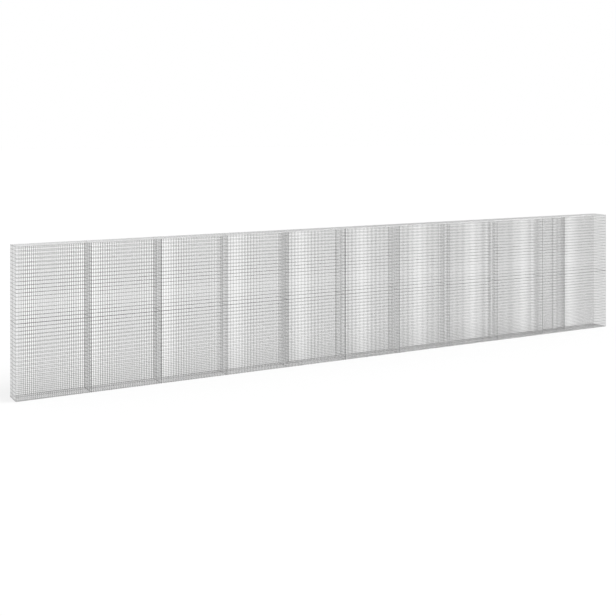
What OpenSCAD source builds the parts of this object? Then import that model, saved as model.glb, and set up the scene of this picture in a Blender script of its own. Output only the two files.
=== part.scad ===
// Empty gabion wall: a row of welded mesh baskets, two panels high, with
// partitions between the bays, a mesh floor under the panels and mesh covers
// over them.
// The origin is at the middle of the underside. X runs along the wall, the
// front is on the -Y side, and Z is up.
// Each lattice here keeps the border wires and a regular share of the wires
// between them, at their true places, as bars as deep as the two crossing
// layers of wire.

/* [Wall] */
// Width of a whole bay
bay_w = 1000; // [600:10:1500]
// Width of the one narrow bay
narrow_bay_w = 500; // [300:10:1000]
// Depth of the wall, from front to back
wall_d = 310; // [200:10:800]
// Height of one panel
panel_h = 1000; // [500:10:1200]
// Number of panels above each other
levels = 2; // [1:1:3]

/* [Mesh] */
// Thickness of a wire
wire = 4; // [3:0.5:6]
// How far a weld presses one wire into the other
weld_sink = 0.6; // [0:0.1:1.5]
// Distance between two upright wires, and between two cross wires of a
// floor or cover
upright_pitch = 25; // [20:5:50]
// Distance between two level wires
rail_pitch = 50; // [40:5:100]
// One upright in this many is kept in a lattice
uprights_per_bar = 4; // [3:1:8]
// One level wire in this many is kept in an upright lattice
rails_per_bar = 4; // [2:1:6]
// One lengthwise wire in this many is kept in a floor or cover
flat_rails_per_bar = 3; // [1:1:6]

/* [Fits] */
// Gap between a panel and what it is laced to
seat = 0.3; // [0.2:0.1:0.8]

/* [Hidden] */
BAYS_BEFORE = 9;
BAYS_AFTER = 1;
BAYS = BAYS_BEFORE + 1 + BAYS_AFTER;
NARROW = BAYS_BEFORE;
// Bays that share one cover node
COVER_BAYS = 2;
// Bays on the left floor node
FLOOR_LEFT_BAYS = 6;

// Width of bay number b, and where its left side is
function width_of(b) = b == NARROW ? narrow_bay_w : bay_w;
wall_l = (BAYS - 1) * bay_w + narrow_bay_w;
function side_of(b) = b * bay_w - (b > NARROW ? bay_w - narrow_bay_w : 0) - wall_l / 2;

// Thickness of a mesh of two crossing layers
mesh_t = 2 * wire - weld_sink;
inner_d = wall_d - 2 * (mesh_t + seat);
level_pitch = panel_h + seat;
// Height of the lowest panels' feet, and of the covers' underside
foot = mesh_t + seat;
cover_z = foot + levels * level_pitch;

// Whole number of gaps nearest to pitch that a length divides into
function gaps(length, pitch) = max(1, round((length - wire) / pitch));

// A flat lattice with its corner at the origin: bars at the given spacing
// along x and y, and a border all round
module lattice(w, h, x_pitch, y_pitch) {
    nx = gaps(w, x_pitch);
    ny = gaps(h, y_pitch);
    x_step = (w - wire) / nx;
    y_step = (h - wire) / ny;
    linear_extrude(mesh_t)
        difference() {
            square([w, h]);
            for (i = [0:nx - 1], j = [0:ny - 1])
                translate([i * x_step + wire, j * y_step + wire])
                    square([x_step - wire, y_step - wire]);
        }
}

upright_step = upright_pitch * uprights_per_bar;
rail_step = rail_pitch * rails_per_bar;
flat_rail_step = rail_pitch * flat_rails_per_bar;

// The panels of one bay, above each other, with their outer face at y = 0
module panels(bay) {
    for (level = [0:levels - 1])
        translate([side_of(bay) + seat / 2, mesh_t, foot + level * level_pitch])
            rotate([90, 0, 0])
                lattice(width_of(bay) - seat, panel_h, upright_step, rail_step);
}

module front_panel(bay) {
    color("darkgray")
        translate([0, -wall_d / 2, 0])
            panels(bay);
}

module back_panel(bay) {
    color("darkgray")
        translate([0, wall_d / 2 - mesh_t, 0])
            panels(bay);
}

// Mesh across the wall, between its front and back, with its left face at x
module cross_panels(x) {
    color("gray")
        for (level = [0:levels - 1])
            translate([x, -inner_d / 2, foot + level * level_pitch])
                rotate([90, 0, 90])
                    lattice(inner_d, panel_h, upright_step, rail_step);
}

module left_end_panel() {
    cross_panels(side_of(0) + seat / 2);
}

module right_end_panel() {
    cross_panels(side_of(BAYS) - seat / 2 - mesh_t);
}

// Partition number p stands between bays p - 1 and p
module partition(p) {
    cross_panels(side_of(p) - mesh_t / 2);
}

// A flat mesh for each bay from the first to the last, with its underside at z
module flat_panels(first, last, z) {
    for (bay = [first:min(last, BAYS - 1)])
        translate([side_of(bay) + seat / 2, -wall_d / 2, z])
            lattice(width_of(bay) - seat, wall_d, upright_step, flat_rail_step);
}

// The covers lie on the panels
module cover(number) {
    color("lightgray")
        flat_panels((number - 1) * COVER_BAYS, number * COVER_BAYS - 1, cover_z);
}

// The floor carries the panels
module floor_left() {
    color("dimgray")
        flat_panels(0, FLOOR_LEFT_BAYS - 1, 0);
}

module floor_right() {
    color("dimgray")
        flat_panels(FLOOR_LEFT_BAYS, BAYS - 1, 0);
}

front_panel(0);  // front_panel_01
front_panel(1);  // front_panel_02
front_panel(2);  // front_panel_03
front_panel(3);  // front_panel_04
front_panel(4);  // front_panel_05
front_panel(5);  // front_panel_06
front_panel(6);  // front_panel_07
front_panel(7);  // front_panel_08
front_panel(8);  // front_panel_09
front_panel(9);  // front_panel_10
front_panel(10);  // front_panel_11
back_panel(0);  // back_panel_01
back_panel(1);  // back_panel_02
back_panel(2);  // back_panel_03
back_panel(3);  // back_panel_04
back_panel(4);  // back_panel_05
back_panel(5);  // back_panel_06
back_panel(6);  // back_panel_07
back_panel(7);  // back_panel_08
back_panel(8);  // back_panel_09
back_panel(9);  // back_panel_10
back_panel(10);  // back_panel_11
left_end_panel();
right_end_panel();
partition(1);  // partition_01
partition(2);  // partition_02
partition(3);  // partition_03
partition(4);  // partition_04
partition(5);  // partition_05
partition(6);  // partition_06
partition(7);  // partition_07
partition(8);  // partition_08
partition(9);  // partition_09
partition(10);  // partition_10
cover(1);  // cover_01
cover(2);  // cover_02
cover(3);  // cover_03
cover(4);  // cover_04
cover(5);  // cover_05
cover(6);  // cover_06
floor_left();
floor_right();
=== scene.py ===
# %% [markdown]
# # An empty gabion wall in galvanised wire mesh
#
# The wall is a row of flat baskets that are filled with stones once they
# stand in place. Here they are empty, so everything that shows is wire:
# welded mesh panels on the front and back, two above each other, a mesh
# partition between every two bays, a mesh floor and mesh covers. This lesson
# draws each wire as a rod of its own, because the fine grid of wires, and the
# way the back of the wall shows through its front, is what the eye sees.

# %% Load the frame
import math

import bpy
import numpy as np
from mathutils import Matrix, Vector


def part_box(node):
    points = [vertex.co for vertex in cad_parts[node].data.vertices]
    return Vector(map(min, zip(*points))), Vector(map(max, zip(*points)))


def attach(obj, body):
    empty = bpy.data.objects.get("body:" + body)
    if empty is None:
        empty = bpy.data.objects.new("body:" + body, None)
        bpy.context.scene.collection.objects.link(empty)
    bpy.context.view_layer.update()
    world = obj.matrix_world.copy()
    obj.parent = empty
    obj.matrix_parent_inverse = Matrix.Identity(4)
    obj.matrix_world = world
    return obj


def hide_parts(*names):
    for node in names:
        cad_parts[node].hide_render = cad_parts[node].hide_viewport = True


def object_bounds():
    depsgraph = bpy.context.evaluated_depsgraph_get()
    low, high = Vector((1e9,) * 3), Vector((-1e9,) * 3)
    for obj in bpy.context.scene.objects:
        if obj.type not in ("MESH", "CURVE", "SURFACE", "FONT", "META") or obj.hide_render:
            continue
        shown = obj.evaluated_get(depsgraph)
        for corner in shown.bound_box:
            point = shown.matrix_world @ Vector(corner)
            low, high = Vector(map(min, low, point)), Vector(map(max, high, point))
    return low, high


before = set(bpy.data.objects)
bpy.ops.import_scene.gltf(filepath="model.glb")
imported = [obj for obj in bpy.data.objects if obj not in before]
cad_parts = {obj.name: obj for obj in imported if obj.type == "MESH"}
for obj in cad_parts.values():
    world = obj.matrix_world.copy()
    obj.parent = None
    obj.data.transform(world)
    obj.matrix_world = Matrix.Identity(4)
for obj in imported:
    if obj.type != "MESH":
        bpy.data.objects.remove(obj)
cad_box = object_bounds()
print("frame nodes:", len(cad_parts))

# %% [markdown]
# ## Sizes
#
# Nothing is measured by hand here. The frame says where each panel is, and
# the true pitch of the wires is a whole number of gaps in each panel. The
# outer wires of a panel run along its edges, as on a mesh that was cut
# between two wires and trimmed. The uprights between them sit a little to
# the right of even spacing, because a roll of mesh is never cut exactly in
# the middle of a gap. Panels that stand back to back then don't line up, and
# that moves the bright stripes that two meshes make behind each other.

# %% Sizes of the mesh
MM = 0.001
WIRE = 4 * MM
UPRIGHT_PITCH = 25 * MM
RAIL_PITCH = 50 * MM
LEVELS = 2
# A weld presses one wire a little way into the other
WELD_SINK = 0.6 * MM
LAYER = WIRE - WELD_SINK
SEAT = 0.3 * MM
# How far the inner uprights of a panel sit to the right, seen from outside
CUT_OFFSET = 2.2 * MM


def corners(node):
    """A node's lowest and highest corners as arrays."""
    low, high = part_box(node)
    return np.array(low), np.array(high)


wall_low, wall_high = (np.array(corner) for corner in cad_box)
fronts = sorted(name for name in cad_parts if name.startswith("front_panel"))
panel_low, panel_high = corners(fronts[0])
panel_h = (panel_high[2] - panel_low[2] - (LEVELS - 1) * SEAT) / LEVELS
print(f"{len(fronts)} bays, panels {panel_h:.3f} m high")

# %% [markdown]
# ## One rod, many times
#
# A wire is a long thin cylinder. Twelve sides are enough to look round when
# they are shaded smooth, and the ends are flat, as a shear leaves them. The
# wires could be Blender cylinders in an array, but a wall has thousands of
# them in many lengths, so one function lays out the points of every rod of a
# panel at once and hands them to a single mesh. Each rod also gets a UV map:
# U counts the crossings along the wire and V goes once around it. The
# finish uses them to find the welds.

# %% A builder of rods
SIDES = 12


class Rods:
    """Collects straight round rods and turns them into one mesh."""

    def __init__(self):
        self.points = []
        self.uvs = []

    def add(self, start, end, pitch):
        """One rod from start to end. pitch is the distance between its welds."""
        start = np.array(start, float)
        end = np.array(end, float)
        along = end - start
        length = np.linalg.norm(along)
        along /= length
        side = np.array([0.0, 0.0, 1.0]) if abs(along[2]) < 0.5 else np.array([1.0, 0.0, 0.0])
        side -= along * side.dot(along)
        side /= np.linalg.norm(side)
        up = np.cross(along, side)
        turn = np.arange(SIDES) * 2 * math.pi / SIDES
        ring = (np.outer(np.cos(turn), side) + np.outer(np.sin(turn), up)) * WIRE / 2
        self.points.append(np.concatenate([start + ring, end + ring] * 2))
        # The first and last welds lie half a wire inside the ends
        self.uvs.append((-WIRE / 2 / pitch, (length - WIRE / 2) / pitch))

    def build(self, name):
        """The collected rods as one smooth-shaded object."""
        count = len(self.points)
        base = np.arange(count)[:, None] * 4 * SIDES
        k = np.arange(SIDES)
        after = (k + 1) % SIDES
        quads = np.stack([k, k + SIDES, after + SIDES, after], axis=1)
        quads = (base[:, :, None] + quads[None]).reshape(-1, 4)
        # The flat ends have points of their own, so they don't bend the light on the side
        low_caps = (base + k[::-1] + 2 * SIDES).reshape(-1, SIDES)
        high_caps = (base + k + 3 * SIDES).reshape(-1, SIDES)
        faces = quads.tolist() + low_caps.tolist() + high_caps.tolist()
        mesh = bpy.data.meshes.new(name)
        mesh.from_pydata(np.concatenate(self.points).tolist(), [], faces)
        smooth = np.ones(len(faces), bool)
        smooth[len(quads):] = False
        mesh.polygons.foreach_set("use_smooth", smooth)
        uv = mesh.uv_layers.new(name="wire")
        u = np.array(self.uvs)
        v = np.append(k, SIDES) / SIDES
        side_uv = np.empty((count, SIDES, 4, 2))
        side_uv[:, :, 0, 0] = side_uv[:, :, 3, 0] = u[:, :1]
        side_uv[:, :, 1, 0] = side_uv[:, :, 2, 0] = u[:, 1:]
        side_uv[:, :, 0, 1] = side_uv[:, :, 1, 1] = v[:-1]
        side_uv[:, :, 2, 1] = side_uv[:, :, 3, 1] = v[1:]
        cap_uv = np.empty((2, count, SIDES, 2))
        cap_uv[0, :, :, 0] = u[:, :1]
        cap_uv[1, :, :, 0] = u[:, 1:]
        cap_uv[..., 1] = 0.5
        uv.data.foreach_set("uv", np.concatenate([side_uv.ravel(), cap_uv.ravel()]))
        mesh.update()
        piece = bpy.data.objects.new(name, mesh)
        bpy.context.collection.objects.link(piece)
        return piece


# %% [markdown]
# ## A welded mesh panel
#
# Welded mesh is made of two layers: straight wires one way, and straight
# wires the other way laid across them and pressed in where they are welded.
# A panel is described by its corner, two directions with the number of wires
# to lay, and which way the second layer lies. The same function then makes
# walls, partitions, floors and covers.

# %% A builder of panels
def places(length, pitch):
    """Where the wires of one direction lie, from edge to edge, and their pitch."""
    gaps = max(1, round((length - WIRE) / pitch))
    step = (length - WIRE) / gaps
    return WIRE / 2 + step * np.arange(gaps + 1), step


def mesh_panel(rods, corner, across, up, inward, offset=0.0):
    """Adds one panel. corner is its outer corner, across and up are vectors
    along its edges, and inward is the unit vector that the second layer, of
    the wires along across, lies towards. offset moves all the wires along up
    but the first and the last."""
    corner = np.array(corner, float)
    across = np.array(across, float)
    up = np.array(up, float)
    inward = np.array(inward, float)
    width = np.linalg.norm(across)
    height = np.linalg.norm(up)
    across_at, across_step = places(width, UPRIGHT_PITCH)
    across_at[1:-1] += offset
    up_at, up_step = places(height, RAIL_PITCH)
    outer = corner + inward * WIRE / 2
    inner = outer + inward * LAYER
    for at in across_at:
        foot = outer + across / width * at
        rods.add(foot, foot + up, up_step)
    for at in up_at:
        left = inner + up / height * at
        rods.add(left, left + across, across_step)


def finish_piece(rods, name, node):
    """Builds the rods, hangs them on the root and hides the frame node."""
    piece = rods.build(name)
    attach(piece, "root")
    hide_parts(node)
    return piece


# %% [markdown]
# ## Front and back
#
# Each bay has a lower and an upper panel on the front and on the back, 1 m
# by 1 m in all bays but the narrow one. Their uprights are on the outside,
# and the two rims that meet at half height lie on each other and show as one
# dark line along the whole wall.

# %% Front and back panels
pieces = {"panel_wire": [], "cross_wire": [], "cover_wire": [], "floor_wire": []}


def tall_panels(node, name, face_y, inward_y):
    """The panels of one bay, above each other, on the front or the back."""
    low, high = corners(node)
    rods = Rods()
    for level in range(LEVELS):
        foot = low[2] + level * (panel_h + SEAT)
        mesh_panel(rods, (low[0], face_y, foot), (high[0] - low[0], 0, 0),
                   (0, 0, panel_h), (0, inward_y, 0), CUT_OFFSET * inward_y)
    pieces["panel_wire"].append(finish_piece(rods, name, node))
    return len(rods.points)


wires = 0
for node in fronts:
    wires += tall_panels(node, node.replace("panel", "mesh"), wall_low[1], 1)
    back = node.replace("front", "back")
    wires += tall_panels(back, back.replace("panel", "mesh"), wall_high[1], -1)
print("wires in front and back:", wires)

# %% [markdown]
# ## Ends and partitions
#
# The ends and the partitions are the same mesh as the front, 0.3 m wide.
# They stand between the front and the back and keep them apart when the
# stones push outwards. Each one fits between the inner layers of its
# neighbours, so it is narrower than the wall by both meshes.

# %% Panels across the wall
def cross_panels(node, name, face_x, inward_x):
    """The panels that run across the wall at one place, above each other."""
    low, high = corners(node)
    rods = Rods()
    for level in range(LEVELS):
        foot = low[2] + level * (panel_h + SEAT)
        mesh_panel(rods, (face_x, low[1], foot), (0, high[1] - low[1], 0),
                   (0, 0, panel_h), (inward_x, 0, 0))
    pieces["cross_wire"].append(finish_piece(rods, name, node))
    return len(rods.points)


wires = cross_panels("left_end_panel", "left_end_mesh", corners("left_end_panel")[0][0], 1)
wires += cross_panels("right_end_panel", "right_end_mesh", corners("right_end_panel")[1][0], -1)
partitions = sorted(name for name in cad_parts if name.startswith("partition"))
for node in partitions:
    wires += cross_panels(node, node.replace("partition", "partition_mesh"), corners(node)[0][0], 1)
print("wires in ends and partitions:", wires)

# %% [markdown]
# ## Floor and covers
#
# The floor lies on the ground under all the panels, and the covers lie on
# their top wires. Both have their long wires every 50 mm and their short
# cross wires every 25 mm, one mesh to a bay, with the cross wires outside.

# %% Flat panels
def flat_panels(node, name, slot, face_z, up_z):
    """The floor or cover meshes of all the bays that a node holds."""
    low, high = corners(node)
    rods = Rods()
    for front in fronts:
        left, right = corners(front)
        if left[0] > low[0] - SEAT and right[0] < high[0] + SEAT:
            mesh_panel(rods, (left[0], low[1], face_z), (right[0] - left[0], 0, 0),
                       (0, high[1] - low[1], 0), (0, 0, up_z))
    pieces[slot].append(finish_piece(rods, name, node))
    return len(rods.points)


wires = 0
for node in sorted(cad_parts):
    low, high = corners(node)
    if node.startswith("floor"):
        wires += flat_panels(node, node.replace("floor", "floor_mesh"), "floor_wire", low[2], 1)
    if node.startswith("cover"):
        wires += flat_panels(node, node.replace("cover", "cover_mesh"), "cover_wire", high[2], -1)
print("wires in floor and covers:", wires)

# %% [markdown]
# ## Colours and nodes
#
# Colours are written as hex values, as they are seen on a screen, and turned
# to the linear values that Blender calculates with. One helper empties a node
# tree, and another adds a node, sets its values and makes its links.

# %% Helpers for materials
def linear(hex_colour):
    """An sRGB hex colour as linear RGBA."""
    parts = [int(hex_colour[i:i + 2], 16) / 255 for i in (1, 3, 5)]
    parts = [c / 12.92 if c <= 0.04045 else ((c + 0.055) / 1.055) ** 2.4 for c in parts]
    return (*parts, 1.0)


def empty_tree(owner):
    """Turns on the nodes of a material or world, and empties its tree."""
    owner.use_nodes = True
    owner.node_tree.nodes.clear()
    return owner.node_tree


def add_node(tree, kind, settings=None, inputs=None):
    """Adds a node. An input is a value, or an output socket to link."""
    node = tree.nodes.new(kind)
    for name, value in (settings or {}).items():
        setattr(node, name, value)
    for key, value in (inputs or {}).items():
        if isinstance(value, bpy.types.NodeSocket):
            tree.links.new(value, node.inputs[key])
        else:
            node.inputs[key].default_value = value
    return node


# %% [markdown]
# ## Galvanised steel wire
#
# The wire is low-carbon steel, drawn and then hot-dip galvanised. Zinc on
# thin wire has no large flakes: it is an even light grey that has turned a
# little dull, with paler and darker patches a few centimetres long, faint
# lines along the wire from the drawing die, and a matt grey ring at each
# weld, where the heat burned the zinc. The metal is rough enough that it
# shows soft light and no clear reflections. Each kind of part gets its own
# copy of this zinc in other greys, which are painted light and shade: paler
# covers, ends and partitions, and darker front, back and floor wires.

# %% Galvanised wire finish
# Sizes of the noises, as how many of their cells fit in a metre
PATCHES_PER_M = 25.0
GRAINS_PER_M = 330.0
# How often the die lines change along the wire, for each weld, and around it
LINES_ALONG = 1.5
LINES_AROUND = 14.0
# A weld's dull ring ends between these shares of the way to the next weld
RING_FULL = 0.04
RING_GONE = 0.14
RING_GREY = "#c6c6c6"
ROUGH_DULL = 0.58
ROUGH_BRIGHT = 0.42
BUMP_DEPTH = 0.15 * MM


def galvanised_wire(name, bright, dull):
    """Galvanised steel in two greys, with weld marks where U is whole."""
    material = bpy.data.materials.new(name)
    tree = empty_tree(material)
    place = add_node(tree, "ShaderNodeTexCoord")
    patches = add_node(tree, "ShaderNodeTexNoise", None,
                       {"Vector": place.outputs["Object"], "Scale": PATCHES_PER_M, "Detail": 3.0})
    grains = add_node(tree, "ShaderNodeTexNoise", None,
                      {"Vector": place.outputs["Object"], "Scale": GRAINS_PER_M, "Detail": 2.0})
    split = add_node(tree, "ShaderNodeSeparateXYZ", None, {"Vector": place.outputs["UV"]})
    # How far along the gap between two welds: 0 at a weld and 0.5 between
    whole = add_node(tree, "ShaderNodeMath", {"operation": "PINGPONG"},
                     {0: split.outputs["X"], 1: 0.5})
    weld = add_node(tree, "ShaderNodeMapRange", {"interpolation_type": "SMOOTHSTEP"},
                    {"Value": whole.outputs[0], "From Min": RING_FULL, "From Max": RING_GONE,
                     "To Min": 1.0, "To Max": 0.0})
    # The lines of the die run along the wire, so V is stretched and U is not
    stretch = add_node(tree, "ShaderNodeVectorMath", {"operation": "MULTIPLY"},
                       {0: place.outputs["UV"], 1: (LINES_ALONG, LINES_AROUND, 1.0)})
    lines = add_node(tree, "ShaderNodeTexNoise", None,
                     {"Vector": stretch.outputs[0], "Scale": 1.0, "Detail": 2.0})
    tone = add_node(tree, "ShaderNodeMath", {"operation": "MULTIPLY_ADD"},
                    {0: grains.outputs["Fac"], 1: 0.35, 2: patches.outputs["Fac"]})
    tone_2 = add_node(tree, "ShaderNodeMath", {"operation": "MULTIPLY_ADD"},
                      {0: lines.outputs["Fac"], 1: 0.3, 2: tone.outputs[0]})
    span = add_node(tree, "ShaderNodeMapRange", None,
                    {"Value": tone_2.outputs[0], "From Min": 0.55, "From Max": 1.1})
    mixed = add_node(tree, "ShaderNodeMix", {"data_type": "RGBA"},
                     {"Factor": span.outputs[0], 6: linear(dull), 7: linear(bright)})
    burnt = add_node(tree, "ShaderNodeMix", {"data_type": "RGBA", "blend_type": "MULTIPLY"},
                     {"Factor": weld.outputs[0], 6: mixed.outputs[2], 7: linear(RING_GREY)})
    rough = add_node(tree, "ShaderNodeMapRange", None,
                     {"Value": tone_2.outputs[0], "From Min": 0.5, "From Max": 1.15,
                      "To Min": ROUGH_DULL, "To Max": ROUGH_BRIGHT})
    bump = add_node(tree, "ShaderNodeBump", None,
                    {"Height": tone_2.outputs[0], "Strength": 0.25, "Distance": BUMP_DEPTH})
    shader = add_node(tree, "ShaderNodeBsdfPrincipled", None,
                      {"Base Color": burnt.outputs[2], "Metallic": 1.0,
                       "Roughness": rough.outputs[0], "Normal": bump.outputs[0]})
    add_node(tree, "ShaderNodeOutputMaterial", None, {"Surface": shader.outputs[0]})
    return material


# Lit and shaded copies of one zinc. The covers are paler as painted light from above, the ends and
# partitions paler as painted light on their sides, the front and back panels darker as painted shade,
# and the floor darker as painted shade under the mesh.
lit_and_shaded_finishes = {
    "panel_wire": galvanised_wire("galvanised_steel_panels_painted_shade", "#8e8e8e", "#787878"),
    "cross_wire": galvanised_wire("galvanised_steel_partitions_painted_light", "#e6e6e6", "#dadada"),
    "cover_wire": galvanised_wire("galvanised_steel_covers_painted_light", "#e4e4e4", "#dadada"),
    "floor_wire": galvanised_wire("galvanised_steel_floor_painted_shade", "#aeaeae", "#9c9c9c"),
}
for slot, made in pieces.items():
    for piece in made:
        piece.data.materials.append(lit_and_shaded_finishes[slot])
print("wired pieces:", sum(len(made) for made in pieces.values()))

# %% [markdown]
# ## Floor and light
#
# The wall stands on a plain white floor in front of nothing. The world looks
# pure white to the camera and to reflections, and lights the scene a little
# less than that. The floor is a mid grey that glows just enough to reach
# white where nothing shades it, so the soft shadow of the wall still shows on
# it, but faintly. One soft sun, high up at the front and to the right, puts a
# highlight on every wire. It lights the whole length evenly, which a lamp
# near such a long wall wouldn't.

# %% White surroundings
WHITE = (1.0, 1.0, 1.0, 1.0)
SKY_LIGHT = 0.88
FLOOR_GREY = "#6a6a6a"
FLOOR_GLOW = 0.735


def seen_directly(tree):
    """A socket that is 1 for camera rays and clear reflections."""
    path = add_node(tree, "ShaderNodeLightPath")
    glossy = add_node(tree, "ShaderNodeMath", {"operation": "MAXIMUM"},
                      {0: path.outputs["Is Camera Ray"], 1: path.outputs["Is Glossy Ray"]})
    both = add_node(tree, "ShaderNodeMath", {"operation": "MAXIMUM"},
                    {0: glossy.outputs[0], 1: path.outputs["Is Transmission Ray"]})
    return both.outputs[0]


world = bpy.data.worlds.new("pale_sky")
bpy.context.scene.world = world
sky = empty_tree(world)
light_sky = add_node(sky, "ShaderNodeBackground", None, {"Color": WHITE, "Strength": SKY_LIGHT})
white_sky = add_node(sky, "ShaderNodeBackground", None, {"Color": WHITE, "Strength": 1.0})
sky_mix = add_node(sky, "ShaderNodeMixShader", None,
                   {0: seen_directly(sky), 1: light_sky.outputs[0], 2: white_sky.outputs[0]})
add_node(sky, "ShaderNodeOutputWorld", None, {"Surface": sky_mix.outputs[0]})

# %% The floor
FLOOR_SIZE = 400.0
FLOOR_GAP = 0.5 * MM
floor_mesh = bpy.data.meshes.new("studio_floor")
half = FLOOR_SIZE / 2
floor_z = float(wall_low[2]) - FLOOR_GAP
floor_mesh.from_pydata([(-half, -half, floor_z), (half, -half, floor_z),
                        (half, half, floor_z), (-half, half, floor_z)], [], [(0, 1, 2, 3)])
floor = bpy.data.objects.new("studio_floor", floor_mesh)
bpy.context.collection.objects.link(floor)
paper = bpy.data.materials.new("white_paper_floor")
tree = empty_tree(paper)
matt = add_node(tree, "ShaderNodeBsdfDiffuse", None, {"Color": linear(FLOOR_GREY)})
glow = add_node(tree, "ShaderNodeEmission", None, {"Color": WHITE, "Strength": FLOOR_GLOW})
glow_seen = add_node(tree, "ShaderNodeMixShader", None, {0: seen_directly(tree), 2: glow.outputs[0]})
paper_sum = add_node(tree, "ShaderNodeAddShader", None, {0: matt.outputs[0], 1: glow_seen.outputs[0]})
add_node(tree, "ShaderNodeOutputMaterial", None, {"Surface": paper_sum.outputs[0]})
floor_mesh.materials.append(paper)


# %% The lamp
SUN_FROM = (8.0, -4.5, 8.0)
SUN_STRENGTH = 5.0
SUN_WIDTH_DEG = 35
sun = bpy.data.lights.new("soft_sun", "SUN")
sun.energy = SUN_STRENGTH
sun.angle = math.radians(SUN_WIDTH_DEG)
sun_holder = bpy.data.objects.new("soft_sun", sun)
bpy.context.collection.objects.link(sun_holder)
# A sun shines down its own Z axis, so that axis is turned back towards it
pan = math.atan2(SUN_FROM[0], -SUN_FROM[1])
tilt = math.atan2(math.hypot(SUN_FROM[0], SUN_FROM[1]), SUN_FROM[2])
sun_holder.rotation_euler = (tilt, 0, pan)
sun_holder.location = SUN_FROM

# %% [markdown]
# ## The camera
#
# The wall is seen from the left of its middle and from above eye height. The
# camera looks level and its lens is shifted down instead, as an architect's
# camera does, so that the uprights stay parallel in the picture.

# %% Camera
EYE = (-8.406, -13.438, 3.473)
TURN_DEG = 29.43
LENS = 59.27
LENS_SHIFT = -0.2829
SENSOR_WIDTH = 36.0
camera_data = bpy.data.cameras.new("camera")
camera_data.lens = LENS
camera_data.sensor_width = SENSOR_WIDTH
camera_data.shift_y = LENS_SHIFT
camera = bpy.data.objects.new("camera", camera_data)
bpy.context.collection.objects.link(camera)
camera.location = EYE
camera.rotation_euler = (math.pi / 2, 0, -math.radians(TURN_DEG))
bpy.context.scene.camera = camera
bpy.context.scene.view_settings.view_transform = "Standard"
